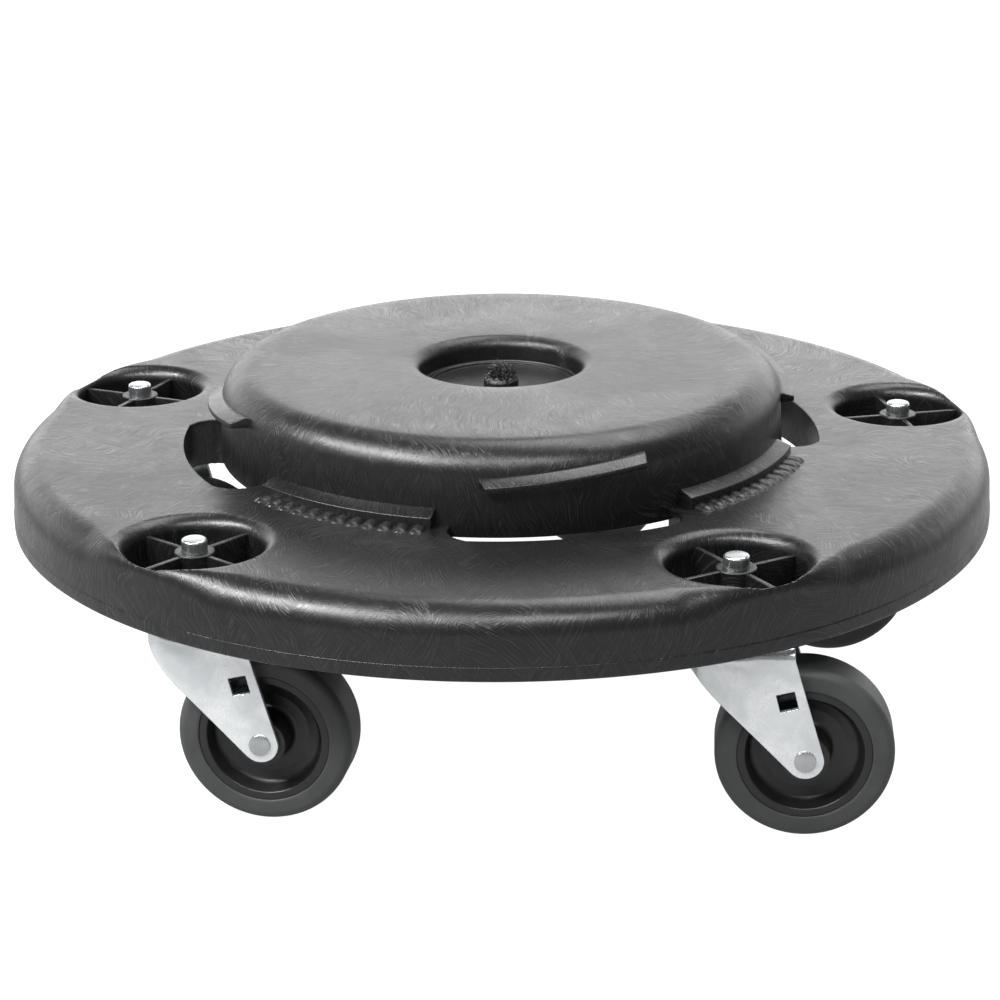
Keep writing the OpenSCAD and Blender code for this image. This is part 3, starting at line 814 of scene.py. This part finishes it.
def gate_threads():
    """Drawn-out threads of plastic round the gate stub."""
    bm = bmesh.new()
    top = HUB_TOP - 4
    rng = np.random.default_rng(11)
    for _ in range(16):
        a = rng.uniform(0, 2 * math.pi)
        r0, reach = rng.uniform(1.5, 6.5), rng.uniform(2.0, 6.5)
        start = (r0 * math.cos(a), r0 * math.sin(a), top - 0.5)
        b = a + rng.uniform(-1.2, 1.2)
        stop = (start[0] + reach * math.cos(b), start[1] + reach * math.sin(b), top + rng.uniform(0.4, 2.6))
        bow = (rng.uniform(-1, 1), rng.uniform(-1, 1), rng.uniform(0.2, 1.2))
        thread(bm, start, stop, bow, rng.uniform(0.16, 0.3))
    return mesh_from(bm, "gate_threads", 180)


deck = place(deck_shell(), "deck_shell", "deck", PLASTIC, "deck_plastic")
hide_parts("platform")
for made in [hub_shell(), hub_ribs(), under_ribs(), gate_stub(), gate_threads()]:
    place(made, made.name, "deck", PLASTIC, "deck_plastic")
for q in range(4):
    for made in (low_ledge(q), ramped_ledge(q)):
        place(made, made.name, "deck", PLASTIC, "deck_plastic")
for k in range(CASTERS):
    made = well_cross(k)
    place(made, made.name, "deck", PLASTIC, "deck_plastic")

# ---- casters: built with the stem on Z and the wheel trailing to +X, then turned into place ----

STEM_R = 5.55


def stem_pin():
    """The stem, from its riveted lower head to its chamfered top, with the grip ring's groove."""
    boss_z = BOSS_TOP - BOSS_LENGTH
    groove = BOSS_TOP - 8
    head = CROWN_TOP - SHEET_T - 6
    return lathe("stem_pin", fillet([
        (0, head, 0), (5.3, head, 0.2), (6.5, head + 1.8, 0.4), (4.5, head + 1.85, 0.1),
        (4.5, boss_z, 0.1), (STEM_R, boss_z, 0.3), (STEM_R, groove, 0.15), (STEM_R - 1, groove, 0.1),
        (STEM_R - 1, groove + 3, 0.1), (STEM_R, groove + 3, 0.15), (STEM_R, STEM_TOP, 1.15),
        (0, STEM_TOP, 0)]), 64)


def on_axle(mesh):
    """Turns a revolved part from Z onto the axle's line."""
    upright = Matrix.Rotation(math.radians(90), 4, "X")
    mesh.transform(Matrix.Translation((TRAIL * MM, 0, AXLE_Z * MM)) @ upright)
    return mesh


def axle_rivet():
    """The axle, with a low domed head at each end."""
    edge = (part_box("axle_1")[1][2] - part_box("axle_1")[0][2]) / 2 / MM
    face, head = FORK_HALF, FORK_HALF + 1.4
    dome = [(r, head - 0.55 * (r / edge) ** 2, 0) for r in np.linspace(0, edge - 0.1, 12)]
    half = dome + [(edge, head - 0.75, 0.12), (edge - 0.1, face, 0.1), (4.0, face - 0.2, 0.1)]
    outline = half + [(r, -z, f) for r, z, f in half[::-1]]
    return on_axle(lathe("axle_rivet", fillet(outline), 72))


def core_moulding():
    """The wheel's dished middle."""
    boss, boss_half, web = 10.5, FORK_HALF - 2.7, 3.4
    rim_half = 24.6 / 2 - 0.6
    bore = 6.06
    right = [(bore, boss_half, 0.3), (boss, boss_half, 0.7), (boss + 0.6, web, 2.5), (18.0, web, 2.0),
             (23.4, web + 1.2, 3.0), (25.2, rim_half, 0.8), (28.7, rim_half, 0.4)]
    outline = right + [(r, -z, f) for r, z, f in right[::-1]]
    return on_axle(lathe("core_moulding", fillet(outline, 8), 128))


def tyre():
    """The grey tread, with rounded shoulders."""
    outer, half, core = AXLE_Z, 12.3, 28.7
    right = [(core, half - 0.25, 0.4), (outer - 8.5, half, 1.5), (outer, half - 0.2, 6.6)]
    mid = [(outer, 0, 0)]
    outline = right + mid + [(r, -z, f) for r, z, f in right[::-1]]
    return on_axle(lathe("tyre", fillet(outline, 10), 160))


def fork_plate():
    """The stamped fork's skin."""
    step = 0.6
    axes = [np.arange(-23.1, 40, step), np.arange(-23.1, 23.6, step),
            np.arange(AXLE_Z - 9.3, CROWN_TOP + 1.5, step)]
    points, quads = surface(fork_field, axes, lambda p: p)
    mesh = mesh_of("fork_plate", points, quads)
    true_normals(mesh, fork_field)
    return mesh


PARTS = [
    ("stem_pin", stem_pin(), "stem", "deck", SHADED_PIN_ZINC, "zinc_plate"),
    ("fork_plate", fork_plate(), "fork", "caster_fork", ZINC, "zinc_plate"),
    ("axle_rivet", axle_rivet(), "axle", "caster_fork", SHADED_PIN_ZINC, "zinc_plate"),
    ("core_moulding", core_moulding(), "wheel_core", "caster_wheel", CORE, "core_plastic"),
    ("tyre", tyre(), "tread", "caster_wheel", RUBBER, "grey_rubber"),
]
for k in range(CASTERS):
    here = Matrix.Translation(Vector((*WELLS[k] * MM, 0))) @ Matrix.Rotation(SWIVELS[k], 4, "Z")
    for name, mesh, node, body, material, slot in PARTS:
        own = mesh.copy()
        own.transform(here)
        body_name = body if body == "deck" else f"{body}_{k + 1}"
        piece = place(own, f"{name}_{k + 1}", body_name, material, slot)
        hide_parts(f"{node}_{k + 1}")

KEPT = {"grip_ring": SPRING, "upper_race": ZINC, "upper_balls": BALL, "lower_balls": BALL,
        "lower_race": ZINC, "bushing": SPRING}
for stem, material in KEPT.items():
    for k in range(1, CASTERS + 1):
        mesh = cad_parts[f"{stem}_{k}"].data
        mesh.materials.clear()
        mesh.materials.append(material)

# ---- floor, light and camera ----


def floor():
    """A plain floor that the camera sees as white, and that lights the object more softly."""
    mesh = bpy.data.meshes.new("floor")
    bm = bmesh.new()
    bmesh.ops.create_circle(bm, cap_ends=True, segments=96, radius=14)
    bm.to_mesh(mesh)
    bm.free()
    obj = bpy.data.objects.new("floor", mesh)
    bpy.context.scene.collection.objects.link(obj)
    s = Shader("floor", Roughness=0.9)
    s.main.inputs["Emission Color"].default_value = (1, 1, 1, 1)
    seen = s.add("ShaderNodeLightPath").outputs["Is Camera Ray"]
    s.link("Emission Strength", s.span(seen, 0, 1, 0.36, 1.0))
    tone = s.noise(s.coords(), 6.0, 3.0)
    s.link("Base Color", s.mix(tone, (0.145, 0.145, 0.145, 1), (0.155, 0.155, 0.155, 1)))
    mesh.materials.append(s.mat)


def softbox(name, place_at, aim, size, power):
    """A rectangular area light, turned towards a point."""
    data = bpy.data.lights.new(name, "AREA")
    data.shape = "RECTANGLE"
    data.size, data.size_y = size
    data.energy = power
    obj = bpy.data.objects.new(name, data)
    bpy.context.scene.collection.objects.link(obj)
    obj.location = place_at
    obj.rotation_euler = (Vector(aim) - Vector(place_at)).to_track_quat("-Z", "Y").to_euler()


def studio():
    """A white backdrop low behind the object, dim elsewhere. The camera sees plain white."""
    world = bpy.data.worlds.new("studio")
    bpy.context.scene.world = world
    world.use_nodes = True
    tree = world.node_tree
    tree.nodes.clear()
    add, link = tree.nodes.new, tree.links.new
    way = add("ShaderNodeTexCoord").outputs["Generated"]
    split = add("ShaderNodeSeparateXYZ")
    link(way, split.inputs[0])
    low = add("ShaderNodeMapRange")
    low.interpolation_type = "SMOOTHSTEP"
    link(split.outputs[2], low.inputs["Value"])
    for key, value in {"From Min": 0.27, "From Max": 0.64, "To Min": 1.0, "To Max": 0.0}.items():
        low.inputs[key].default_value = value
    behind = add("ShaderNodeVectorMath")
    behind.operation = "DOT_PRODUCT"
    link(way, behind.inputs[0])
    behind.inputs[1].default_value = (0.208, 0.978, 0)
    back = add("ShaderNodeMapRange")
    link(behind.outputs["Value"], back.inputs["Value"])
    for key, value in {"From Min": 0.1, "From Max": 0.95, "To Min": 0.2, "To Max": 2.6}.items():
        back.inputs[key].default_value = value
    level = add("ShaderNodeMapRange")
    link(low.outputs[0], level.inputs["Value"])
    level.inputs["To Min"].default_value = 0.17
    link(back.outputs[0], level.inputs["To Max"])
    seen, lit, both = add("ShaderNodeBackground"), add("ShaderNodeBackground"), add("ShaderNodeMixShader")
    link(level.outputs[0], lit.inputs["Strength"])
    for node in (seen, lit):
        node.inputs[0].default_value = (1, 1, 1, 1)
    link(add("ShaderNodeLightPath").outputs["Is Camera Ray"], both.inputs[0])
    link(lit.outputs[0], both.inputs[1])
    link(seen.outputs[0], both.inputs[2])
    link(both.outputs[0], add("ShaderNodeOutputWorld").inputs[0])


def camera():
    """A long lens from the front left, a little above the hub's top."""
    azimuth, elevation, distance = math.radians(-12.0), math.radians(20.21), 1.4468
    target = Vector((0, 0, 0.0635))
    level = math.cos(elevation) * distance
    spot = target + Vector((math.sin(azimuth) * level, -math.cos(azimuth) * level,
                            math.sin(elevation) * distance))
    data = bpy.data.cameras.new("camera")
    data.lens, data.sensor_width = 109.65, 36.0
    data.shift_x, data.shift_y = -0.0023, 0.0508
    data.clip_end = 100
    obj = bpy.data.objects.new("camera", data)
    bpy.context.scene.collection.objects.link(obj)
    look = (target - spot).to_track_quat("-Z", "Y").to_matrix().to_4x4()
    obj.matrix_world = Matrix.Translation(spot) @ look @ Matrix.Rotation(math.radians(-0.396), 4, "Z")
    bpy.context.scene.camera = obj


floor()
studio()
softbox("key", (-1.22, -0.45, 1.3), (0, 0, 0.1), (1.6, 0.36), 66)
softbox("top", (0.46, 0.26, 1.35), (0, 0, 0.1), (1.3, 0.7), 17)
softbox("fill", (-0.16, -1.24, 1.35), (0, 0, 0.1), (1.0, 0.3), 16)
camera()
bpy.context.scene.view_settings.view_transform = "Standard"

bpy.context.view_layer.update()
